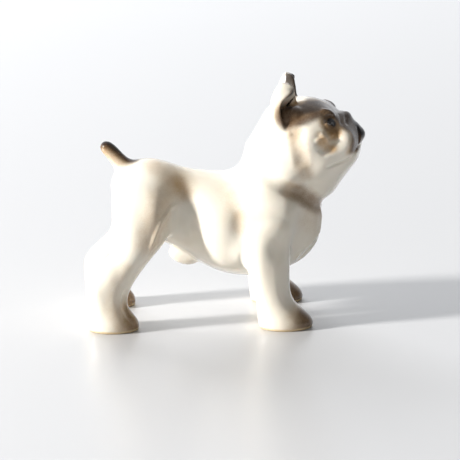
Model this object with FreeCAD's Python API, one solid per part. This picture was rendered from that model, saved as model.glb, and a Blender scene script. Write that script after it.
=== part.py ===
import FreeCAD, Part
import os
from math import cos, pi, sin

# A standing porcelain bulldog, about 10 cm tall, as its maker casts and assembles it.
# The barrel with its neck and the head are hollow slip castings that meet on one plane at the throat.
# The four legs are hollow castings, the ears and the docked tail are solid, and all of them are
# luted on with slip at the leather-hard stage, each against the curved wall it sits on.
# The wall behind every leg is pierced, so that the air inside can reach one vent hole in the belly.
#
# Frame: millimetres, the dog faces +X, its left side is +Y, and its four soles rest on Z = 0.
# The origin is the middle of the footprint of the whole figure.

Vector = FreeCAD.Vector

# --- driving dimensions -------------------------------------------------------------------

WALL = 3.2              # slip-cast wall of the barrel and the head
LEG_WALL = 2.8          # the legs are cast in a smaller mould and come out a little thinner
AIR_HOLE = 4.0          # diameter of the hole pierced behind each leg
VENT_HOLE = 3.2         # diameter of the vent in the belly
HEAD_TURN = -8.0        # degrees about +Z: the head looks a touch to the dog's right
NECK_PIVOT = Vector(20, 0, 0)   # the head turns about the vertical through this point
RING_POINTS = 16        # points on the outline of one cross-section

# The cross-sections of the barrel, neck and head, from rump to muzzle. Each is an ellipse that
# stands on the middle plane: the upper end (x, z), the lower end (x, z), the half width, and how
# much of the head's turn it takes. On the neck the sections fan out about the nape.
BARREL_SECTIONS = [
    ((-46.0, 60.6), (-46.8, 53.4), 4.8, 0.0),
    ((-43.5, 64.0), (-45.5, 49.5), 9.0, 0.0),
    ((-38.0, 66.8), (-40.0, 43.0), 13.5, 0.0),
    ((-28.0, 67.4), (-29.0, 35.0), 16.5, 0.0),
    ((-18.0, 64.3), (-18.5, 29.0), 15.0, 0.0),
    ((-8.5, 62.3), (-9.0, 23.0), 17.0, 0.0),
    ((1.0, 61.6), (2.0, 18.6), 20.0, 0.0),
    ((6.0, 63.8), (13.5, 17.8), 22.0, 0.0),
    ((8.0, 68.2), (27.0, 21.0), 22.0, 0.1),
    ((9.0, 72.3), (36.0, 27.2), 20.5, 0.25),
    ((10.5, 75.5), (40.0, 35.6), 19.0, 0.45),
    ((12.5, 79.0), (40.8, 43.2), 18.2, 0.65),
    ((14.5, 82.5), (41.2, 49.5), 18.0, 0.85),
]
HEAD_SECTIONS = [
    ((17.0, 87.0), (44.5, 52.0), 18.5, 1.0),
    ((21.5, 90.8), (47.5, 56.0), 19.0, 1.0),
    ((28.0, 92.6), (50.5, 60.5), 18.5, 1.0),
    ((36.0, 92.6), (53.0, 64.0), 17.0, 1.0),
    ((43.0, 90.0), (55.0, 66.5), 14.0, 1.0),
    ((48.5, 86.8), (56.3, 69.0), 11.5, 1.0),
    ((52.4, 84.2), (57.0, 71.0), 8.8, 1.0),
    ((55.2, 81.2), (57.5, 73.8), 5.2, 1.0),
]
RUMP_TIP = (-47.0, 57.0)
MUZZLE_TIP = (57.4, 76.4)

# Each leg is a stack of level ellipses: height, rear x, front x, middle y, half width.
# The highest one lies inside the barrel, and the lowest is the sole.
FORELEG_SECTIONS = [
    (54.0, 12.0, 24.0, 13.0, 6.0),
    (44.0, 6.5, 26.5, 16.5, 7.2),
    (37.0, 5.5, 26.2, 18.0, 7.2),
    (30.0, 7.2, 25.8, 19.0, 7.0),
    (21.0, 9.6, 25.8, 19.4, 6.8),
    (12.5, 11.2, 27.0, 19.5, 6.8),
    (8.0, 12.0, 30.5, 19.5, 7.3),
    (4.0, 12.8, 34.8, 19.5, 7.8),
    (1.5, 13.6, 35.2, 19.5, 7.6),
    (0.0, 15.0, 33.8, 19.5, 6.8),
]
HINDLEG_SECTIONS = [
    (62.0, -41.0, -26.0, 6.0, 5.0),
    (57.0, -44.0, -22.0, 9.5, 7.2),
    (50.0, -46.5, -20.5, 12.2, 7.8),
    (43.0, -46.5, -21.5, 14.0, 8.2),
    (37.0, -46.2, -24.0, 15.5, 7.8),
    (32.0, -48.0, -28.4, 16.5, 7.2),
    (28.0, -52.0, -32.2, 17.2, 6.8),
    (24.0, -56.2, -35.4, 17.6, 6.5),
    (20.0, -58.2, -38.2, 18.0, 6.3),
    (15.0, -58.4, -40.4, 18.0, 6.2),
    (10.5, -58.0, -41.0, 18.0, 6.5),
    (6.0, -57.8, -38.4, 18.0, 7.2),
    (2.5, -57.5, -36.4, 18.0, 7.4),
    (0.0, -56.0, -37.6, 18.0, 6.8),
]
SOLE_THICKNESS = 7.0    # solid porcelain under a leg's cavity

# The docked tail: places (x, z) along its middle line and its radius there.
TAIL_SECTIONS = [
    ((-36.5, 58.5), 4.6),
    ((-41.2, 64.6), 4.1),
    ((-45.4, 69.6), 3.4),
    ((-48.2, 72.9), 2.9),
    ((-49.7, 74.6), 1.8),
]
TAIL_TIP = (-50.2, 75.2)

# The ears are cupped leaves: height, middle x, middle y, half depth, half breadth.
EAR_SECTIONS = [
    (79.0, 26.0, 10.5, 2.4, 3.4),
    (84.0, 24.2, 12.0, 3.4, 4.8),
    (90.0, 22.6, 12.4, 4.2, 5.6),
    (94.5, 23.2, 11.8, 4.0, 5.0),
    (98.5, 24.6, 10.8, 3.2, 4.0),
    (100.6, 25.4, 10.3, 2.4, 2.8),
]
EAR_TIP = (101.4, 25.6, 10.1)
EAR_HOLLOW = (Vector(28.0, 13.0, 93.5), Vector(5.2, 4.6, 7.6))  # middle and half sizes of the scoop

# Rounded lumps pressed onto the head: middle and half sizes, for the dog's left side.
NOSE = (Vector(54.5, 0.0, 78.8), Vector(3.6, 4.4, 4.2))
FLEW = (Vector(49.0, 6.0, 72.5), Vector(7.2, 6.4, 8.2))
BROW = (Vector(40.5, 7.0, 86.8), Vector(5.0, 4.8, 3.4))
SHEATH = (Vector(-17.5, 0.0, 25.5), Vector(7.0, 2.8, 3.4))
SHEATH_SLOPE = 24.0     # degrees the sheath dips towards its tip


# --- shapes -------------------------------------------------------------------------------

def turned(point, share):
    """The point after it has taken this share of the head's turn."""
    turn = FreeCAD.Rotation(Vector(0, 0, 1), HEAD_TURN * share)
    return NECK_PIVOT + turn.multVec(point - NECK_PIVOT)


def closed_curve(points):
    """One smooth closed wire through the points, evenly timed so that all sections match."""
    times = [i / len(points) for i in range(len(points) + 1)]
    curve = Part.BSplineCurve()
    curve.interpolate(Points=points, PeriodicFlag=True, Parameters=times)
    return Part.Wire([curve.toShape()])


def ellipse(middle, half_up, half_side):
    """A closed ellipse about middle, from its two half axes."""
    angles = [2 * pi * i / RING_POINTS for i in range(RING_POINTS)]
    return closed_curve([middle + half_up * cos(a) + half_side * sin(a) for a in angles])


def standing_section(section, inset=0.0):
    """The outline of one barrel, neck or head section, set in by a wall's thickness."""
    (top_x, top_z), (low_x, low_z), half_width, share = section
    top = Vector(top_x, 0, top_z)
    low = Vector(low_x, 0, low_z)
    half_up = (top - low) * 0.5
    half_up = half_up * ((half_up.Length - inset) / half_up.Length)
    side = turned(NECK_PIVOT + Vector(0, half_width - inset, 0), share) - NECK_PIVOT
    middle = turned((top + low) * 0.5, share)
    up = turned(NECK_PIVOT + half_up, share) - NECK_PIVOT
    return ellipse(middle, up, side)


def skin(wires):
    """A solid with one smooth surface through the wires."""
    solid = Part.makeLoft(wires, True, False)
    if not solid.isValid():
        raise ValueError("a loft came out invalid")
    return solid


def ellipsoid(middle, half_sizes, slope=0.0):
    """A ball stretched to half_sizes, tipped nose down by slope degrees, about middle."""
    ball = Part.makeSphere(1.0)
    ball.rotate(Vector(0, 0, 0), Vector(0, 0, 1), 50.0)     # its seam leaves the middle plane
    stretch = FreeCAD.Matrix()
    stretch.scale(half_sizes)
    shape = ball.transformGeometry(stretch)
    shape.rotate(Vector(0, 0, 0), Vector(0, 1, 0), slope)
    shape.translate(middle)
    return shape


def turned_shape(shape):
    """A copy of the shape, turned with the head."""
    copy = shape.copy()
    copy.rotate(NECK_PIVOT, Vector(0, 0, 1), HEAD_TURN)
    return copy


def mirrored(shape):
    """The same casting for the other side of the dog."""
    return shape.mirror(Vector(0, 0, 0), Vector(0, 1, 0))


def one_solid(shape, name):
    """The single solid in shape, or an error that names the piece."""
    if len(shape.Solids) != 1 or not shape.Solids[0].isValid():
        raise ValueError(f"{name} has {len(shape.Solids)} solids or is not valid")
    return shape.Solids[0]


# --- barrel and head ----------------------------------------------------------------------

def body_and_head():
    """The outer form of barrel, neck and head in one skin, and the cavity inside it."""
    sections = BARREL_SECTIONS + HEAD_SECTIONS
    rump = Part.Vertex(RUMP_TIP[0], 0, RUMP_TIP[1])
    muzzle = Part.Vertex(turned(Vector(MUZZLE_TIP[0], 0, MUZZLE_TIP[1]), 1.0))
    outside = skin([rump, *[standing_section(s) for s in sections], muzzle])
    inside = skin([standing_section(s, WALL) for s in sections[1:-2]])
    return outside, inside


def throat_cutter():
    """A block that covers everything on the head's side of the throat plane."""
    (top_x, top_z), (low_x, low_z), _, share = BARREL_SECTIONS[-1]
    up = Vector(top_x - low_x, 0, top_z - low_z).normalize()
    forward = Vector(up.z, 0, -up.x)
    size = 120.0
    block = Part.makeBox(size, size, size, Vector(0, -size / 2, -size / 2))
    middle = Vector((top_x + low_x) / 2, 0, (top_z + low_z) / 2)
    block.Placement = FreeCAD.Placement(middle, FreeCAD.Rotation(Vector(1, 0, 0), forward))
    block.rotate(NECK_PIVOT, Vector(0, 0, 1), HEAD_TURN * share)
    return block


def upright_hole(x, y, low, high, diameter):
    return Part.makeCylinder(diameter / 2, high - low, Vector(x, y, low))


def slanting_hole(start, end, diameter):
    along = end - start
    return Part.makeCylinder(diameter / 2, along.Length, start, along)


# --- legs, tail and ears ------------------------------------------------------------------

def leg_section(section, inset=0.0):
    height, rear, front, middle_y, half_width = section
    middle = Vector((rear + front) / 2, middle_y, height)
    half_length = Vector((front - rear) / 2 - inset, 0, 0)
    return ellipse(middle, half_length, Vector(0, half_width - inset, 0))


def leg(sections):
    """A hollow leg casting on the dog's left, open at the top."""
    form = skin([leg_section(s) for s in sections])
    core = skin([leg_section(s, LEG_WALL) for s in sections if s[0] > SOLE_THICKNESS])
    return form.cut(core)


def tail():
    """The solid docked tail."""
    rings = []
    places = [Vector(x, 0, z) for (x, z), _ in TAIL_SECTIONS] + [Vector(TAIL_TIP[0], 0, TAIL_TIP[1])]
    for i, (_, radius) in enumerate(TAIL_SECTIONS):
        along = (places[i + 1] - places[max(i - 1, 0)]).normalize()
        across = Vector(-along.z, 0, along.x)
        rings.append(ellipse(places[i], Vector(0, radius, 0), across * radius))
    return skin([*rings, Part.Vertex(places[-1])])


def ear():
    """A solid ear on the dog's left: a leaf scooped out in front."""
    rings = []
    for height, x, y, half_depth, half_breadth in EAR_SECTIONS:
        rings.append(ellipse(Vector(x, y, height), Vector(half_depth, 0, 0), Vector(0, half_breadth, 0)))
    tip = Part.Vertex(EAR_TIP[1], EAR_TIP[2], EAR_TIP[0])
    return skin([*rings, tip]).cut(ellipsoid(*EAR_HOLLOW))


def both_sides(middle_and_sizes):
    """An ellipsoid and its mirror image."""
    lump = ellipsoid(*middle_and_sizes)
    return [lump, mirrored(lump)]


# --- assembly -----------------------------------------------------------------------------

outside, inside = body_and_head()
head_side = throat_cutter()

head_form = outside.common(head_side)
lumps = [ellipsoid(*NOSE), *both_sides(FLEW), *both_sides(BROW)]
head_form = head_form.fuse([turned_shape(lump) for lump in lumps])
head = head_form.cut(inside)

barrel_form = outside.cut(head_side).fuse(ellipsoid(*SHEATH, SHEATH_SLOPE))
barrel = barrel_form.cut(inside)
barrel = barrel.cut(upright_hole(-4.0, 0, 10.0, 30.0, VENT_HOLE))
for side in (1, -1):
    fore_hole = slanting_hole(Vector(16, 19 * side, 36), Vector(16, 8 * side, 46), AIR_HOLE)
    hind_hole = slanting_hole(Vector(-33, 15 * side, 42), Vector(-31, 5 * side, 50), AIR_HOLE)
    barrel = barrel.cut([fore_hole, hind_hole])

# Every part below is cut back to the wall it is luted onto, so that the two meet face to face.
foreleg = leg(FORELEG_SECTIONS)
hindleg = leg(HINDLEG_SECTIONS)
left_ear = ear()

pieces = {
    "barrel": barrel,
    "head": head,
    "ear_left": turned_shape(left_ear).cut(head_form),
    "ear_right": turned_shape(mirrored(left_ear)).cut(head_form),
    "tail": tail().cut(barrel_form),
    "foreleg_left": foreleg.cut(barrel_form),
    "foreleg_right": mirrored(foreleg).cut(barrel_form),
    "hindleg_left": hindleg.cut(barrel_form),
    "hindleg_right": mirrored(hindleg).cut(barrel_form),
}

os.makedirs("parts", exist_ok=True)
for name, shape in pieces.items():
    solid = one_solid(shape, name)
    solid.exportStep(f"parts/{name}.step")
    box = solid.optimalBoundingBox(False)
    print(f"{name}: {solid.Volume / 1000:.2f} cm3, x {box.XMin:.1f} to {box.XMax:.1f}, "
          f"y {box.YMin:.1f} to {box.YMax:.1f}, z {box.ZMin:.1f} to {box.ZMax:.1f}")
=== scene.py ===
from math import cos, radians, sin

import bmesh
import bpy
import numpy as np
from mathutils import Matrix, Vector
from mathutils.bvhtree import BVHTree


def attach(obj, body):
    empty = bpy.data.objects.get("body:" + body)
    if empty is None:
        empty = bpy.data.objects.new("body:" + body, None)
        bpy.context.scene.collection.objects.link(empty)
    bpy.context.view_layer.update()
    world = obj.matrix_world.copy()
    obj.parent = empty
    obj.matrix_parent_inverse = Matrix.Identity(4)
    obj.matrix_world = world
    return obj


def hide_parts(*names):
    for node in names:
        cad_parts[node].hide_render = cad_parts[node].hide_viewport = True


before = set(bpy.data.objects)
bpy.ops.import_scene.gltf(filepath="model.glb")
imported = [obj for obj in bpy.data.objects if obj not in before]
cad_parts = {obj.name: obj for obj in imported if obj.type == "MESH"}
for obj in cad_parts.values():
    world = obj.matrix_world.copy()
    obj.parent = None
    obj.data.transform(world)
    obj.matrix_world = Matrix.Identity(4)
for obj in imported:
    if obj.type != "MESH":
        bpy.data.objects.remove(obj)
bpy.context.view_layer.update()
mm = 0.001


# --- Table, light and viewpoint ---
# A satin white table top. One lamp stands low on the left, a pale window wall behind the table fills
# the shadows and shines in the table top, and a little warm light comes back from the viewer's side.

table = bmesh.new()
bmesh.ops.create_grid(table, x_segments=1, y_segments=1, size=3.0)
table_mesh = bpy.data.meshes.new("table_top")
table.to_mesh(table_mesh)
table.free()
table_object = bpy.data.objects.new("table_top", table_mesh)
bpy.context.collection.objects.link(table_object)

table_finish = bpy.data.materials.new("satin_white_table")
table_finish.use_nodes = True
shader = table_finish.node_tree.nodes["Principled BSDF"]
shader.inputs["Base Color"].default_value = (0.505, 0.505, 0.51, 1)
shader.inputs["Roughness"].default_value = 0.30
shader.inputs["Specular IOR Level"].default_value = 0.5
table_mesh.materials.append(table_finish)

room = bpy.data.worlds.new("window_wall")
room.use_nodes = True
room_nodes = room.node_tree.nodes
looking = room_nodes.new("ShaderNodeTexCoord")
toward_window = room_nodes.new("ShaderNodeVectorMath")
toward_window.operation = "DOT_PRODUCT"
toward_window.inputs[1].default_value = Vector((-0.25, 0.95, 0.20)).normalized()
window_glow = room_nodes.new("ShaderNodeMapRange")
window_glow.interpolation_type = "SMOOTHSTEP"
window_glow.inputs["From Min"].default_value = -0.3
window_glow.inputs["From Max"].default_value = 1.0
window_glow.inputs["To Min"].default_value = 0.12
window_glow.inputs["To Max"].default_value = 1.0
room.node_tree.links.new(looking.outputs["Generated"], toward_window.inputs[0])
room.node_tree.links.new(toward_window.outputs["Value"], window_glow.inputs["Value"])
room.node_tree.links.new(window_glow.outputs["Result"], room_nodes["Background"].inputs["Strength"])
room_nodes["Background"].inputs["Color"].default_value = (0.95, 0.97, 1.0, 1)
bpy.context.scene.world = room
bpy.context.scene.view_settings.view_transform = "Standard"


def soft_lamp(name, place, aim, size, energy, color, shine=True):
    """A round lamp at place that shines towards aim, in metres."""
    lamp = bpy.data.lights.new(name, "AREA")
    lamp.shape = "DISK"
    lamp.size = size
    lamp.energy = energy
    lamp.color = color
    lamp_object = bpy.data.objects.new(name, lamp)
    lamp_object.location = place
    lamp_object.rotation_euler = (Vector(place) - Vector(aim)).to_track_quat("Z", "Y").to_euler()
    lamp_object.visible_glossy = shine
    bpy.context.collection.objects.link(lamp_object)


soft_lamp("low_lamp", (-2.767, -0.538, 1.066), (0, 0, 0.04), 0.38, 200, (1.0, 0.985, 0.96))
soft_lamp("window", (-0.6, 2.1, 1.0), (-0.1, 1.1, 0), 1.6, 60, (0.95, 0.97, 1.0), shine=False)
soft_lamp("room_bounce", (-0.5, -1.6, 0.6), (0, 0, 0.04), 1.0, 3, (1.0, 0.97, 0.91), shine=False)

camera = bpy.data.cameras.new("viewpoint")
camera.lens = 187.8
camera.sensor_width = 36
camera_object = bpy.data.objects.new("viewpoint", camera)
# One metre from the middle of the dog, a little to the left of square on and looking down.
turned = radians(-4.5)
raised = radians(15)
back = Vector((sin(turned) * cos(raised), -cos(turned) * cos(raised), sin(raised)))
camera_object.location = Vector((0.0025, 0, 0.0365)) + back
camera_object.rotation_euler = back.to_track_quat("Z", "Y").to_euler()
bpy.context.collection.objects.link(camera_object)
bpy.context.scene.camera = camera_object


# --- Slip-cast body, all in one skin ---
# Barrel, head, tail and legs are luted together while leather-hard and the joints are smoothed over
# with a wet brush, so they are shaped as one skin first and cut back into castings at the end.

HEAD_TURN = radians(-8)
NECK = np.array([20.0, 0.0, 0.0])


def spin_z(points, angle):
    """Points turned about the vertical through the neck."""
    c, s = cos(angle), sin(angle)
    x, y = points[:, 0] - NECK[0], points[:, 1]
    return np.column_stack([NECK[0] + c * x - s * y, s * x + c * y, points[:, 2]])


def press_ball(clay, middle, radii, tip=0.0):
    """Adds an egg of clay about middle, tipped about the Y axis, and its twin if it is off centre."""
    for side in ((1, -1) if middle[1] else (1,)):
        place = Matrix.Translation(Vector((middle[0], middle[1] * side, middle[2])) * mm)
        place = place @ Matrix.Rotation(radians(tip), 4, "Y")
        place = place @ Matrix.Diagonal((*[r * mm for r in radii], 1.0))
        bmesh.ops.create_icosphere(clay, subdivisions=3, radius=1.0, matrix=place)


def with_modifier(clay, kind, **settings):
    """The clay as a new mesh with one modifier applied."""
    mesh = bpy.data.meshes.new("clay")
    clay.to_mesh(mesh)
    lump = bpy.data.objects.new("clay", mesh)
    bpy.context.collection.objects.link(lump)
    modifier = lump.modifiers.new(kind.lower(), kind)
    for name, value in settings.items():
        setattr(modifier, name, value)
    depsgraph = bpy.context.evaluated_depsgraph_get()
    changed = bpy.data.meshes.new_from_object(lump.evaluated_get(depsgraph))
    bpy.data.objects.remove(lump)
    bpy.data.meshes.remove(mesh)
    return changed


def smooth_over(clay, voxel):
    """The clay as one even skin with nothing left inside it."""
    return with_modifier(clay, "REMESH", mode="VOXEL", voxel_size=voxel * mm, adaptivity=0)


def points_of(mesh):
    """The places of the mesh's points, in mm."""
    flat = np.empty(len(mesh.vertices) * 3, np.float32)
    mesh.vertices.foreach_get("co", flat)
    return flat.reshape(-1, 3).astype(float) / mm


def set_points(mesh, points):
    """Moves the mesh's points to places given in mm."""
    mesh.vertices.foreach_set("co", (points * mm).astype(np.float32).ravel())
    mesh.update()


def edges_of(mesh):
    """The two point numbers of every edge."""
    flat = np.empty(len(mesh.edges) * 2, np.int32)
    mesh.edges.foreach_get("vertices", flat)
    return flat.reshape(-1, 2)


def normals_of(mesh):
    """The outward direction of the skin at every point."""
    flat = np.empty(len(mesh.vertices) * 3, np.float32)
    mesh.vertex_normals.foreach_get("vector", flat)
    return flat.reshape(-1, 3).astype(float)


def brushed(points, edges, rounds):
    """Points after a wet brush has passed over them: each moves half way to its neighbours' middle."""
    count = np.bincount(edges.ravel(), minlength=len(points))[:, None]
    for _ in range(rounds):
        total = np.zeros_like(points)
        for axis in range(points.shape[1]):
            total[:, axis] += np.bincount(edges[:, 0], points[edges[:, 1], axis], len(points))
            total[:, axis] += np.bincount(edges[:, 1], points[edges[:, 0], axis], len(points))
        points = points + 0.5 * (total / count - points)
    return points


clay = bmesh.new()
for node in ("barrel", "head", "tail", "foreleg_left", "foreleg_right", "hindleg_left", "hindleg_right"):
    clay.from_mesh(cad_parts[node].data)
bmesh.ops.remove_doubles(clay, verts=clay.verts[:], dist=1e-6)
# The hollows are filled, so that the wet brush only meets the outside.
press_ball(clay, (-33, 0, 53), (11, 12, 12))
press_ball(clay, (-20, 0, 46), (14, 13, 15))
press_ball(clay, (-4, 0, 42), (16, 15, 20))
press_ball(clay, (14, 0, 42), (18, 19, 21))
press_ball(clay, (24, 0, 52), (15, 16, 20))
press_ball(clay, (24, 0, 68), (13, 14, 16))
press_ball(clay, (34, -1, 76), (15, 13, 13))
press_ball(clay, (17, 17, 40), (7, 5, 9))
press_ball(clay, (17, 19, 22), (6, 5.4, 18))
press_ball(clay, (-34, 12, 48), (10, 7, 12))
press_ball(clay, (-38, 15, 36), (8, 6, 10), 30)
press_ball(clay, (-47, 17.6, 22), (7, 5, 12), 30)
press_ball(clay, (-49, 18, 12), (6, 5, 8))
ROUGH_GRAIN = 1.0
skin = smooth_over(clay, ROUGH_GRAIN)
clay.free()
set_points(skin, brushed(points_of(skin), edges_of(skin), 10))


# --- Ears, put on ---
# Each ear is a cropped leaf of clay, rolled thin and cupped, so that it opens forwards and outwards.
# Its foot is pressed on to the side of the skull and thickened with slip.

# Rows from foot to tip; each runs from the outer rim round the back to the inner rim, head facing ahead.
EAR_ROWS = [((27, -15, 79), (22.5, -14.5, 80.5), (19.5, -12, 83), (23.5, -8, 86), (30.5, -8, 88.5)),
            ((25, -15.5, 86), (21.5, -15, 86.5), (19.5, -12, 88), (22.5, -8, 89.5), (30.5, -6.5, 91)),
            ((23.5, -15.5, 91), (21, -14.5, 91), (19.5, -12, 92), (22.5, -8, 93), (30, -6.5, 94)),
            ((25, -15.5, 95), (21, -14.5, 94.5), (20.5, -12, 95.5), (23, -8.5, 96.5), (29.5, -7.5, 96.5)),
            ((29, -13, 97), (23.5, -14, 97.5), (21.5, -12, 98.5), (23.5, -9.5, 99), (29, -8.5, 98.5)),
            ((29, -10.5, 100), (26.5, -11.5, 100.5), (24, -11, 101), (25, -10, 101), (28, -9.5, 100.5))]
EAR_MIDDLE = 28.5
EAR_THICK = 1.5
# The left ear is pressed narrower than the right one.
EAR_WIDTHS = ((1, 1.0), (-1, 0.78))
# A pad of clay fills the foot of the cup: middle and radii.
PAD = (28.5, 10, 86)
PAD_RADII = (6.5, 4.6, 5.4)
FINE_GRAIN = 0.4

for side, narrow in EAR_WIDTHS:
    leaf = bmesh.new()
    bmesh.ops.create_grid(leaf, x_segments=4, y_segments=5, size=1.0)
    for vert in leaf.verts:
        row = EAR_ROWS[round((vert.co.y + 1) * 2.5)]
        x, y, z = row[round((vert.co.x + 1) * 2)]
        place = np.array([[EAR_MIDDLE + (x - EAR_MIDDLE) * narrow, y * side, z]])
        vert.co = Vector(spin_z(place, HEAD_TURN)[0]) * mm
    bmesh.ops.recalc_face_normals(leaf, faces=leaf.faces[:])
    rounded = with_modifier(leaf, "SUBSURF", levels=3, render_levels=3)
    leaf.free()
    leaf = bmesh.new()
    leaf.from_mesh(rounded)
    thick = with_modifier(leaf, "SOLIDIFY", thickness=EAR_THICK * mm, offset=0.0)
    leaf.free()
    clay = bmesh.new()
    clay.from_mesh(skin)
    clay.from_mesh(thick)
    place = np.array([[PAD[0], PAD[1] * side, PAD[2]]])
    pad = Matrix.Translation(Vector(spin_z(place, HEAD_TURN)[0]) * mm)
    pad = pad @ Matrix.Diagonal((*[r * mm for r in PAD_RADII], 1.0))
    bmesh.ops.create_icosphere(clay, subdivisions=3, radius=1.0, matrix=pad)
    clay.to_mesh(skin)
    clay.free()

clay = bmesh.new()
clay.from_mesh(skin)
skin = smooth_over(clay, FINE_GRAIN)
clay.free()
edges = edges_of(skin)
points = brushed(points_of(skin), edges, 3)
set_points(skin, points)


# --- Modelling, with the wooden tool ---
# The muscles, folds and wrinkles are worked into the damp skin: thumbed swellings and hollows first,
# then strokes of a rounded tool. Every mark is made on both sides of the dog.


def folded(points):
    """Points with the left side folded over on to the right, so that one mark is made on both."""
    return np.column_stack([points[:, 0], np.abs(points[:, 1]), points[:, 2]])


def face_on(points):
    """Folded points with the head turned back to look straight ahead."""
    return folded(spin_z(points, -HEAD_TURN))


def thumb(places, middle, radii):
    """How much a thumb pressed at middle moves each place: 1 under it, fading away over radii."""
    gap = (places - np.array(middle, float)) / np.array(radii, float)
    return np.exp(-(gap ** 2).sum(axis=1))


def reach(places, path):
    """How far each place is from path, and how far along it the nearest spot lies, 0 to 1."""
    path = np.array(path, float)
    runs = np.linalg.norm(np.diff(path, axis=0), axis=1)
    best = np.full(len(places), np.inf)
    passed = np.zeros(len(places))
    start = 0.0
    for a, b, run in zip(path, path[1:], runs):
        share = np.clip((places - a) @ (b - a) / run ** 2, 0, 1)
        gap = np.linalg.norm(places - a - share[:, None] * (b - a), axis=1)
        closer = gap < best
        best[closer] = gap[closer]
        passed[closer] = (start + share[closer] * run) / runs.sum()
        start += run
    return best, passed


def stroke(places, path, width, depth=0.35):
    """How much a round tool drawn along path moves each place: 1 under it, 0 beyond width. Sideways
    distance counts less, by depth, so that the tool reaches the skin where it has been moved."""
    taper = 0.25
    gap, passed = reach(places * (1, depth, 1), np.array(path) * (1, depth, 1))
    fade = np.clip(np.minimum(passed, 1 - passed) / taper, 0, 1)
    return np.clip(1 - (gap / width) ** 2, 0, 1) ** 2 * fade * (2 - fade)


def worked(points, marks, brush):
    """Points moved out along the skin by the marks, then wiped with the brush."""
    set_points(skin, points)
    return brushed(points + marks[:, None] * normals_of(skin), edges, brush)


# Swellings and hollows of the body: middle, radii, how far out.
BODY_THUMBS = [
    ((-4, 19, 41), (9, 9, 12), 2.3),          # ribs
    ((-2, 17, 28), (11, 9, 8), 2.6),
    ((-16, 14, 47), (5, 9, 14), -1.8),        # waist
    ((-25, 19, 44), (6, 7, 12), -1.2),        # front of the thigh
    ((-29, 20, 49), (5, 6, 9), 1.6),
    ((-32, 21, 38), (6, 6, 10), -0.4),
    ((-40, 22, 42), (6, 6, 11), 0.9),         # back of the thigh
    ((19, 21, 50), (8, 7, 11), 2.0),          # shoulder
    ((25, 20, 48), (5, 6, 9), 1.6),
    ((31, 15, 43), (5, 7, 9), -1.0),          # between shoulder and breast
    ((5.5, 21, 32), (3.5, 5, 5), 1.3),        # elbow
    ((37, 8, 38), (6, 6, 7), 0.8),            # breast
    ((26, 19, 64), (9, 6, 4), 1.6),           # collar of the neck
    ((18, 18, 69), (9, 6, 8), 0.8),
    ((28, 18, 56.5), (10, 6, 3.2), -1.6),     # under the collar
    ((4.5, 21, 45), (3.0, 6, 6), -1.0),       # behind the shoulder
    ((19.5, 26, 34.5), (3.2, 5, 5), -0.7),    # pit above the foreleg
    ((12.5, 27, 24), (3.0, 5, 14), 0.7),      # shin of the foreleg
    ((23, 20, 1.5), (11, 8, 5), 1.7),         # fore paw
    ((-47, 17, 1.5), (10, 8, 5), 1.6),        # hind paw
    ((-49.5, 0, 73.0), (3, 4, 3), 0.8),       # tip of the tail
    ((-50, 22, 30), (2.2, 6, 4), 0.3),        # hock and its sinews
    ((-45, 22, 26), (2.4, 6, 6), -0.3),
    ((-54, 20, 17), (2.4, 6, 4), 0.5),
    ((-50, 22, 12), (2.6, 6, 6), -0.3)]
# Tool strokes on the body: path, width, how far out.
BODY_STROKES = [
    # under the dewlap
    (((14, 16.5, 63.5), (22, 18.5, 60), (28, 18.5, 56.5), (33, 15.5, 53), (37, 12, 50), (41, 3, 47)),
     4.0, -1.2),
    (((37, 2.0, 47), (37.5, 2.0, 41), (36.5, 2.0, 35), (32, 2.0, 28)), 3.2, -0.8),    # down the breastbone
    # edge of the breast
    (((39, 7.5, 49), (39.5, 6, 43.5), (38.5, 6.5, 37), (35, 10.5, 33.5), (30.5, 12.5, 30), (27.5, 11, 25)),
     1.3, 0.6),
    (((41, 5, 49), (41, 4, 43.5), (40.5, 4, 37), (37, 8, 32.5), (33, 10, 28.5), (29.5, 9, 24)), 1.6, -0.8),
    (((-20.5, 15, 52), (-21, 15.5, 47), (-21.5, 15.5, 42.5), (-23, 13.5, 36.5)), 2.0, 0.5),  # flank fold
    (((-20, 14.5, 52.5), (-23.5, 17, 50), (-27, 20, 46), (-30, 22, 39.5), (-32.5, 22.5, 32.5)), 1.5, 0.7),
    (((-41.5, 22, 18), (-42.5, 22, 14), (-42.5, 23.5, 10), (-41, 24, 7), (-38.5, 23, 4.5)), 1.6, -1.0),
    (((9.5, 2, 70), (12, 9.5, 71), (14.5, 13, 69.5)), 1.8, -0.8),                     # fold of the nape
    (((8.5, 2, 72.5), (11, 9.5, 73.5), (13.5, 13, 72)), 1.8, 0.5)]

marks = np.zeros(len(points))
body = folded(points)
for middle, radii, out in BODY_THUMBS:
    marks += out * thumb(body, middle, radii)
points = worked(points, marks, 4)
# The soles are ground flat on a wet slab, which takes most off the lowest part of each paw.
PAW_HEIGHT = 8
GROUND_OFF = 1.0
points[:, 2] = np.maximum(points[:, 2] - GROUND_OFF * np.clip(1 - points[:, 2] / PAW_HEIGHT, 0, 1), 0)

body = folded(points)
marks = np.zeros(len(points))
for path, width, out in BODY_STROKES:
    marks += out * stroke(body, path, width)
points = worked(points, marks, 1)

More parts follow.
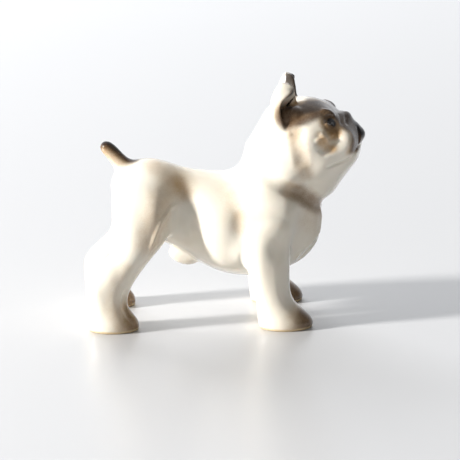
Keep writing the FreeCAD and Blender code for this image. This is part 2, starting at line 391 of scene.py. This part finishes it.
# The head, facing ahead: swellings and hollows.
FACE_THUMBS = [
    ((51.5, 0, 86), (3.5, 4.5, 2.2), 2.0),        # bridge of the nose
    ((47.5, 0, 88.5), (2.2, 6, 2.0), -0.9),       # stop
    ((40, 0, 93), (6, 6, 3), 0.4),                # forehead
    ((42.5, 6.5, 90.5), (3.5, 3.2, 2.2), 0.3),    # brow
    ((44, 12, 86), (2.4, 2.4, 2.2), -1.5),        # eye socket
    ((35.5, 18, 79.5), (4.0, 4, 5), 1.1),         # cheek
    ((36, 18, 66.5), (5, 4, 6), -1.2),
    ((45.5, 16, 79.5), (2.5, 4, 3.5), -0.9),
    ((49.5, 14, 76), (4.0, 4, 5.5), 0.8),         # flew
    ((51.5, 13, 77.5), (3.8, 4.5, 5.5), 2.2),
    ((57.5, 0, 77.5), (2.2, 4, 2.2), 0.9),        # nose
    ((57, 0, 81.5), (1.8, 4, 1.6), -0.5),
    ((57.5, 0, 73), (2.5, 8, 4), -0.5),
    ((43, 17.5, 76), (2.6, 3, 2.6), -0.9)]        # hollow of the cheek
# Tool strokes on the head: path, width, how far out.
FACE_STROKES = [
    # behind the jaw, the groove of the cheek, and the two folds under the eye
    (((31, 16.5, 84), (31, 18, 79), (32.5, 18, 72.5), (33.5, 18, 67.5)), 4.2, -0.8),
    (((39.5, 18.5, 78), (40.5, 18.5, 75.5), (42, 18, 74), (44, 17.5, 75), (45.5, 16, 78), (47, 14, 80.5),
      (48.5, 12, 82)), 2.4, -0.6),
    (((40, 17.5, 81.5), (41.5, 17.5, 80.5), (43, 17, 80), (45, 16, 80.5), (46.5, 14.5, 81.5)), 1.3, 0.7),
    (((38, 18.5, 78.5), (40.5, 18, 79.5), (42.5, 17.5, 79.5), (44, 16.5, 77.5)), 1.2, 0.6),
    # the brow, the two wrinkles across the nose, the nose's own edge, and the lip
    (((40, 10, 90), (42.5, 9.5, 89.5), (44.5, 8.5, 88.5), (46, 8, 86.5)), 1.5, 0.9),
    (((49.5, 0, 87), (50.5, 5.5, 85.5), (51, 8.5, 83)), 1.0, -0.5),
    (((47.5, 3, 88), (48.5, 8.5, 85), (48.5, 10.5, 83)), 1.0, -0.5),
    (((55, 3, 82), (56, 5, 79), (56, 6.5, 76), (55.5, 8, 74.5)), 1.0, -0.6),
    (((57, 0, 74.5), (55.5, 8.5, 74), (54.5, 10, 72.5), (52.5, 11, 70.5), (50, 13, 69), (46.5, 15, 68),
      (42, 16.5, 67)), 1.0, -0.8)]

marks = np.zeros(len(points))
face = face_on(points)
for middle, radii, out in FACE_THUMBS:
    marks += out * thumb(face, middle, radii)
points = worked(points, marks, 2)

face = face_on(points)
marks = np.zeros(len(points))
for path, width, out in FACE_STROKES:
    marks += out * stroke(face, path, width, depth=0.7)
points = worked(points, marks, 1)

# Eyes: a ball in each socket, with a rolled lid above and below.
EYE = (44.5, 11.5, 85.5)
face = face_on(points)
marks = 1.5 * thumb(face, EYE, (1.4, 1.5, 1.4))
marks += 0.7 * stroke(face, ((41.5, 12.5, 87.5), (43.5, 11, 88.5), (45.5, 9.5, 87.5)), 0.9)
marks += 0.7 * stroke(face, ((42, 13.5, 85), (43.5, 13, 83.5), (45.5, 12, 84)), 0.9)
points = worked(points, marks, 1)
set_points(skin, points)


# --- Painted markings and painted shade ---
# Underglaze colour, blown on with an airbrush and soft at its edges: warm brown first, then dark
# brown on the mask, tail and toes, and black on the nose and eyes. The foot rims are wiped bare.
# Some passes of the browns are painted shade: in the groove behind the jaw, in the fold under the eye,
# in the crease behind the ear, on the breast, in the hollow behind the shoulder and along the hock.
# Under the dewlap they are brown paint and painted shade together.

face = face_on(points)
body = folded(points)
outward = normals_of(skin)
face_outward = spin_z(outward + NECK, -HEAD_TURN) - NECK
face_outward[:, 1] *= np.sign(spin_z(points, -HEAD_TURN)[:, 1])


def fading(values, start, full):
    """0 before start, 1 from full on, and a soft fade between."""
    share = np.clip((values - start) / (full - start), 0, 1)
    return share * share * (3 - 2 * share)


def airbrushed(places, path, solid, misty, amount):
    """Paint blown along path: the full amount within solid mm of it, thinning to none at misty mm."""
    return amount * fading(-reach(places, path)[0], -misty, -solid)


def layered(*passes):
    """Several passes of one colour, each covering part of what still shows."""
    bare = np.ones(len(points))
    for laid in passes:
        bare = bare * (1 - laid)
    return 1 - bare


# Where some colours stop: on the paws, along the white stripe of the crown, and at the upper lip.
fore_toes = fading(body[:, 0], 20, 33) * fading(-body[:, 2], -13, -7)
hind_toes = fading(body[:, 0], -50, -38) * fading(-body[:, 2], -17, -9) * (body[:, 0] < -30)
below_crown = 1 - fading(-face[:, 1], -5.5, -3.0) * fading(-face[:, 0], -37, -32)
above_lip = fading(face[:, 2], 71.0, 74.0)

# warm brown
sepia = layered(
    # temple and brow; painted shade down the groove behind the jaw
    airbrushed(face, ((27, 13, 89), (32, 11, 90.5), (38, 8, 91), (45, 5, 89.5)), 4, 8, 0.85) * below_crown,
    airbrushed(face, ((27.5, 17, 87), (29.5, 18, 82)), 2, 4.5, 0.3),
    airbrushed(face, ((30, 18, 80), (32, 18, 75), (33, 18, 70), (34, 18, 65)), 1.5, 5.5, 0.36),
    # round the eye and on the cheek, and painted shade in the fold under the eye
    airbrushed(face, ((43.5, 13, 85), (45, 13, 82.5)), 2.5, 6, 0.85),
    airbrushed(face, ((41, 18.5, 78), (43, 17.5, 76), (45, 17, 75.5)), 0.8, 3.6, 0.8),
    airbrushed(face, ((40, 17.5, 81), (42.5, 17, 79.5), (46, 14.5, 80)), 0.5, 3.0, 0.5),
    # bridge of the nose and front of the muzzle
    airbrushed(face, ((47, 3, 87), (50, 5, 85), (53, 4, 83)), 4.5, 8, 0.92),
    airbrushed(face, ((47.5, 9, 84.5), (50.5, 9.5, 82.5), (53, 9, 80)), 1.5, 4.5, 0.8),
    airbrushed(face, ((53, 4, 82), (55, 9, 77), (55.5, 12, 73)), 3.5, 7.2, 0.92) * above_lip,
    # under the dewlap, brown paint and painted shade beneath its overhang; and painted shade misted on the
    # breast
    airbrushed(body, ((26, 19, 58.0), (31, 16, 54.5), (38, 9, 48.5), (41, 2, 46.5)), 1, 6.5, 0.55),
    airbrushed(body, ((33, 12, 46), (37, 5, 40)), 3, 12, 0.20),
    # loin and thigh
    airbrushed(body, ((-28, 5, 66), (-23, 7, 64), (-18, 9, 59)), 1, 9, 0.38),
    airbrushed(body, ((-20, 9, 60), (-17, 12, 55)), 0.5, 5, 0.40),
    airbrushed(body, ((-22, 13, 59), (-27.5, 17, 53), (-30, 20, 46), (-32, 22, 38)), 1.5, 9, 0.35),
    # ribs behind the shoulder; painted shade in the hollow behind the shoulder and along the hock
    airbrushed(body, ((0, 14, 60), (2, 17, 54), (4, 19, 47)), 1, 9, 0.20),
    airbrushed(body, ((4.5, 20, 47), (4.5, 20, 42)), 0.5, 4.5, 0.28),
    airbrushed(body, ((-42, 22, 28), (-47, 22, 19), (-49, 22.5, 10), (-46, 23, 4)), 0.5, 4.5, 0.25),
    # tail and toes
    airbrushed(body, ((-49, 0, 74), (-41, 0, 69)), 2, 6.5, 0.92),
    airbrushed(body, ((-49, 0, 70), (-44, 0, 66)), 2, 7, 0.22),
    0.95 * fore_toes,
    0.95 * hind_toes)
# dark brown
umber = layered(
    # temple, painted shade in the crease behind the ear, and the brow
    airbrushed(face, ((27, 14, 88), (33, 12.5, 88.5), (38, 9, 90.5), (45, 5, 90)), 3.8, 7.2, 0.82)
    * below_crown,
    airbrushed(face, ((25, 16.5, 90), (26.5, 17, 85.5), (28.5, 17.5, 81)), 0.2, 1.6, 0.6),
    airbrushed(face, ((37.5, 4, 92), (41.5, 5, 91), (45, 5, 88.5)), 2.5, 5.5, 0.75),
    airbrushed(face, ((41, 8, 91), (44, 7, 90), (46.5, 6, 88)), 0.3, 2.2, 0.5),
    # round the eye
    airbrushed(face, ((43.5, 12, 86.5), (44.5, 12, 85)), 1.4, 3.4, 0.7),
    airbrushed(face, ((43, 14.5, 84), (45.5, 13, 82)), 1.0, 3.8, 0.5),
    # bridge of the nose and front of the muzzle
    airbrushed(face, ((47.5, 4, 87), (51, 7, 84)), 3.8, 7, 0.90),
    airbrushed(face, ((54, 0, 83), (56, 8, 79), (56.5, 11.5, 75)), 3.8, 6.8, 0.95) * above_lip,
    # under the dewlap, brown paint and painted shade beneath its overhang; on top of the tail, and the
    # toes
    airbrushed(body, ((29, 18, 56.5), (33, 15, 53), (38.5, 8, 48.5)), 1.0, 5.5, 0.40),
    airbrushed(body, ((-50, 0, 76), (-44, 0, 72.5), (-38.5, 0, 68.5)), 2.4, 5.0, 0.90),
    0.72 * fading(fore_toes, 0.45, 1.0),
    0.55 * fading(hind_toes, 0.5, 1.0))
# black: nose, eyes, and the top of the tail
black = layered(
    airbrushed(face, ((56.5, 0, 82), (58.5, 0, 78.5)), 3.8, 5.4, 0.95),
    airbrushed(face, (EYE, (45, 12, 85)), 1.3, 2.1, 1.0),
    airbrushed(body, ((-50.5, 0, 76.5), (-42, 0, 72)), 1.2, 3.4, 0.75))
# dark brown linings of the ears, the same on their faces towards the crown, and their edges
ear = fading(face[:, 2], 89.5, 91.5) * fading(-face[:, 0], -33, -31)
cup = fading(-reach(face, ((26, 12.5, 90), (25, 12.5, 93), (26, 10.5, 99)))[0], -6.5, -3.5)
hollow = fading(-reach(face, ((26.5, 12.5, 92.5), (27, 10.5, 97)))[0], -3.4, -2.4)
lining = np.maximum(cup * fading(face_outward[:, 0] - 1.3 * face_outward[:, 1], 0.1, 0.6), hollow)
lining = np.maximum(lining, fading(0.6 * face_outward[:, 0] - face_outward[:, 1], 0.25, 0.65)) * ear
edging = cup * fading(face_outward[:, 0] - 0.3 * face_outward[:, 1], 0.0, 0.5) * ear
sepia = layered(sepia, 0.55 * edging)
umber = layered(umber, 0.80 * lining)
black = layered(black, 0.65 * lining)
# unglazed foot rims
RIM_HEIGHT = 1.3
RIM_FADE = 0.5
biscuit = np.clip((RIM_HEIGHT - points[:, 2]) / RIM_FADE, 0, 1)

for name, laid in (("sepia", sepia), ("umber", umber), ("black", black), ("biscuit", biscuit)):
    layer = skin.attributes.new(name, "FLOAT", "POINT")
    layer.data.foreach_set("value", laid.astype(np.float32))


# --- Glaze and glost firing ---
# A clear glaze over cream porcelain. It lies a little thicker and yellower in places, carries a few
# specks of iron, and takes a sharp shine from the lamp.

def socketed(name, inputs, outputs):
    """An empty shader node group with the given sockets."""
    group = bpy.data.node_groups.new(name, "ShaderNodeTree")
    for label, kind in inputs:
        group.interface.new_socket(label, in_out="INPUT", socket_type=kind)
    for label, kind in outputs:
        group.interface.new_socket(label, in_out="OUTPUT", socket_type=kind)
    return group, group.nodes.new("NodeGroupInput"), group.nodes.new("NodeGroupOutput")


# One airbrush colour laid over what is under it, with a grainy, uneven edge.
airbrush, given, result = socketed(
    "airbrush",
    [("Under", "NodeSocketColor"), ("Paint", "NodeSocketColor"), ("Laid", "NodeSocketFloat"),
     ("Place", "NodeSocketVector"), ("Grain", "NodeSocketFloat")],
    [("Color", "NodeSocketColor")])
nodes, links = airbrush.nodes, airbrush.links
cloud = nodes.new("ShaderNodeTexNoise")
cloud.inputs["Scale"].default_value = 260
cloud.inputs["Detail"].default_value = 4
droplets = nodes.new("ShaderNodeTexNoise")
droplets.inputs["Scale"].default_value = 2600
droplets.inputs["Detail"].default_value = 2
both = nodes.new("ShaderNodeMath")
both.operation = "ADD"
centred = nodes.new("ShaderNodeMath")
centred.operation = "SUBTRACT"
centred.inputs[1].default_value = 1.0
scaled = nodes.new("ShaderNodeMath")
scaled.operation = "MULTIPLY"
edge_only = nodes.new("ShaderNodeMapRange")
edge_only.inputs["From Max"].default_value = 0.15
broken = nodes.new("ShaderNodeMath")
broken.operation = "MULTIPLY_ADD"
broken.use_clamp = True
mixed = nodes.new("ShaderNodeMix")
mixed.data_type = "RGBA"
for texture in (cloud, droplets):
    links.new(given.outputs["Place"], texture.inputs["Vector"])
links.new(cloud.outputs["Fac"], both.inputs[0])
links.new(droplets.outputs["Fac"], both.inputs[1])
links.new(both.outputs[0], centred.inputs[0])
links.new(centred.outputs[0], scaled.inputs[0])
links.new(given.outputs["Grain"], scaled.inputs[1])
links.new(given.outputs["Laid"], edge_only.inputs["Value"])
links.new(scaled.outputs[0], broken.inputs[0])
links.new(edge_only.outputs["Result"], broken.inputs[1])
links.new(given.outputs["Laid"], broken.inputs[2])
links.new(broken.outputs[0], mixed.inputs["Factor"])
links.new(given.outputs["Under"], mixed.inputs["A"])
links.new(given.outputs["Paint"], mixed.inputs["B"])
links.new(mixed.outputs["Result"], result.inputs["Color"])

# The fired ground: cream body colour, faint clouds in the glaze, iron specks and orange-peel height.
ground, given, result = socketed(
    "fired_ground",
    [("Place", "NodeSocketVector"), ("Body", "NodeSocketColor"), ("Pooled", "NodeSocketColor"),
     ("Specks", "NodeSocketFloat")],
    [("Color", "NodeSocketColor"), ("Height", "NodeSocketFloat")])
nodes, links = ground.nodes, ground.links
clouds = nodes.new("ShaderNodeTexNoise")
clouds.inputs["Scale"].default_value = 90
clouds.inputs["Detail"].default_value = 3
specks = nodes.new("ShaderNodeTexVoronoi")
specks.inputs["Scale"].default_value = 420
speck_size = nodes.new("ShaderNodeMapRange")
speck_size.inputs["From Min"].default_value = 0.10
speck_size.inputs["From Max"].default_value = 0.06
rare = nodes.new("ShaderNodeMapRange")
rare.inputs["From Min"].default_value = 0.965
rare.inputs["From Max"].default_value = 0.975
split = nodes.new("ShaderNodeSeparateColor")
speck_mask = nodes.new("ShaderNodeMath")
speck_mask.operation = "MULTIPLY"
speck_share = nodes.new("ShaderNodeMath")
speck_share.operation = "MULTIPLY"
tinted = nodes.new("ShaderNodeMix")
tinted.data_type = "RGBA"
specked = nodes.new("ShaderNodeMix")
specked.data_type = "RGBA"
specked.inputs["B"].default_value = (0.22, 0.13, 0.07, 1)
peel = nodes.new("ShaderNodeTexNoise")
peel.inputs["Scale"].default_value = 520
peel.inputs["Detail"].default_value = 2
for texture in (clouds, specks, peel):
    links.new(given.outputs["Place"], texture.inputs["Vector"])
links.new(clouds.outputs["Fac"], tinted.inputs["Factor"])
links.new(given.outputs["Body"], tinted.inputs["A"])
links.new(given.outputs["Pooled"], tinted.inputs["B"])
links.new(specks.outputs["Distance"], speck_size.inputs["Value"])
links.new(specks.outputs["Color"], split.inputs["Color"])
links.new(split.outputs["Red"], rare.inputs["Value"])
links.new(speck_size.outputs["Result"], speck_mask.inputs[0])
links.new(rare.outputs["Result"], speck_mask.inputs[1])
links.new(speck_mask.outputs[0], speck_share.inputs[0])
links.new(given.outputs["Specks"], speck_share.inputs[1])
links.new(speck_share.outputs[0], specked.inputs["Factor"])
links.new(tinted.outputs["Result"], specked.inputs["A"])
links.new(specked.outputs["Result"], result.inputs["Color"])
links.new(peel.outputs["Fac"], result.inputs["Height"])

CREAM = (0.85, 0.795, 0.695, 1)
CREAM_POOLED = (0.82, 0.755, 0.63, 1)
SEPIA = (0.44, 0.255, 0.09, 1)
UMBER = (0.060, 0.032, 0.020, 1)
BLACK = (0.010, 0.009, 0.010, 1)
BISCUIT = (0.72, 0.56, 0.34, 1)


def glazed(name, specks, grain):
    """A glazed and painted porcelain finish, with more or fewer specks and a finer or coarser spray."""
    finish = bpy.data.materials.new(name)
    finish.use_nodes = True
    nodes, links = finish.node_tree.nodes, finish.node_tree.links
    shader = nodes["Principled BSDF"]
    place = nodes.new("ShaderNodeTexCoord")
    fired = nodes.new("ShaderNodeGroup")
    fired.node_tree = ground
    fired.inputs["Body"].default_value = CREAM
    fired.inputs["Pooled"].default_value = CREAM_POOLED
    fired.inputs["Specks"].default_value = specks
    links.new(place.outputs["Object"], fired.inputs["Place"])
    color = fired.outputs["Color"]
    for layer, paint, rough in (("sepia", SEPIA, grain), ("umber", UMBER, grain * 0.8),
                                ("black", BLACK, grain * 0.5), ("biscuit", BISCUIT, grain)):
        laid = nodes.new("ShaderNodeAttribute")
        laid.attribute_name = layer
        spray = nodes.new("ShaderNodeGroup")
        spray.node_tree = airbrush
        spray.inputs["Paint"].default_value = paint
        spray.inputs["Grain"].default_value = rough
        links.new(place.outputs["Object"], spray.inputs["Place"])
        links.new(laid.outputs["Fac"], spray.inputs["Laid"])
        links.new(color, spray.inputs["Under"])
        color = spray.outputs["Color"]
    links.new(color, shader.inputs["Base Color"])
    matt = nodes.new("ShaderNodeMapRange")
    matt.inputs["To Min"].default_value = 0.24
    matt.inputs["To Max"].default_value = 0.75
    links.new(laid.outputs["Fac"], matt.inputs["Value"])
    links.new(matt.outputs["Result"], shader.inputs["Roughness"])
    coat = nodes.new("ShaderNodeMapRange")
    coat.inputs["To Min"].default_value = 0.7
    coat.inputs["To Max"].default_value = 0.0
    links.new(laid.outputs["Fac"], coat.inputs["Value"])
    links.new(coat.outputs["Result"], shader.inputs["Coat Weight"])
    shader.inputs["Coat Roughness"].default_value = 0.07
    shader.inputs["Specular IOR Level"].default_value = 0.25
    shader.inputs["Subsurface Weight"].default_value = 0.12
    shader.inputs["Subsurface Radius"].default_value = (1.0, 0.6, 0.4)
    shader.inputs["Subsurface Scale"].default_value = 0.0012
    peel = nodes.new("ShaderNodeBump")
    peel.inputs["Strength"].default_value = 0.12
    peel.inputs["Distance"].default_value = 0.00006
    links.new(fired.outputs["Height"], peel.inputs["Height"])
    links.new(peel.outputs["Normal"], shader.inputs["Normal"])
    return finish


glazes = {"glaze_white": glazed("cream_glaze", specks=0.8, grain=0.35),
          "glaze_mask": glazed("mask_glaze", specks=0.5, grain=0.45),
          "glaze_ear": glazed("ear_glaze", specks=0.3, grain=0.30),
          "glaze_tail": glazed("tail_glaze", specks=0.3, grain=0.45)}


# --- The castings ---
# Where one casting is luted to the next, the skin is cut again, so that the barrel, head, ears, tail
# and legs are each one closed piece. The shine runs on unbroken across the joints.

CASTINGS = {"barrel": "glaze_white", "head": "glaze_mask",
            "ear_left": "glaze_ear", "ear_right": "glaze_ear", "tail": "glaze_tail",
            "foreleg_left": "glaze_white", "foreleg_right": "glaze_white",
            "hindleg_left": "glaze_white", "hindleg_right": "glaze_white"}

corners, facets, owner = [], [], []
for number, node in enumerate(CASTINGS):
    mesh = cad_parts[node].data
    facets += [[len(corners) + v for v in polygon.vertices] for polygon in mesh.polygons]
    corners += [v.co / mm for v in mesh.vertices]
    owner += [number] * len(mesh.polygons)
castings = BVHTree.FromPolygons(corners, facets)
share = np.zeros((len(points), len(CASTINGS)))
for vert, point in enumerate(points):
    share[vert, owner[castings.find_nearest(point)[2]]] = 1.0
# The borders are evened out, as a wire would cut them.
share = brushed(share, edges, 8)

smooth_normals = skin.attributes.new("smooth_normal", "FLOAT_VECTOR", "POINT")
smooth_normals.data.foreach_set("vector", normals_of(skin).astype(np.float32).ravel())
quads = np.empty(len(skin.loops), np.int32)
skin.loops.foreach_get("vertex_index", quads)
part_of = share[quads.reshape(-1, 4)].sum(axis=1).argmax(axis=1)

for number, (node, glaze) in enumerate(CASTINGS.items()):
    piece = bmesh.new()
    piece.from_mesh(skin)
    piece.faces.ensure_lookup_table()
    others = [piece.faces[i] for i in np.flatnonzero(part_of != number)]
    bmesh.ops.delete(piece, geom=others, context="FACES")
    rim = [edge for edge in piece.edges if edge.is_boundary]
    lids = bmesh.ops.holes_fill(piece, edges=rim, sides=0)["faces"]
    bmesh.ops.poke(piece, faces=lids)
    casting = bpy.data.meshes.new(node + "_casting")
    piece.to_mesh(casting)
    piece.free()
    normals = np.empty(len(casting.vertices) * 3, np.float32)
    casting.attributes["smooth_normal"].data.foreach_get("vector", normals)
    casting.shade_smooth()
    casting.normals_split_custom_set_from_vertices(normals.reshape(-1, 3).tolist())
    casting.attributes.remove(casting.attributes["smooth_normal"])
    casting.materials.append(glazes[glaze])
    casting_object = bpy.data.objects.new(node + "_casting", casting)
    bpy.context.collection.objects.link(casting_object)
    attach(casting_object, "root")
    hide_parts(node)
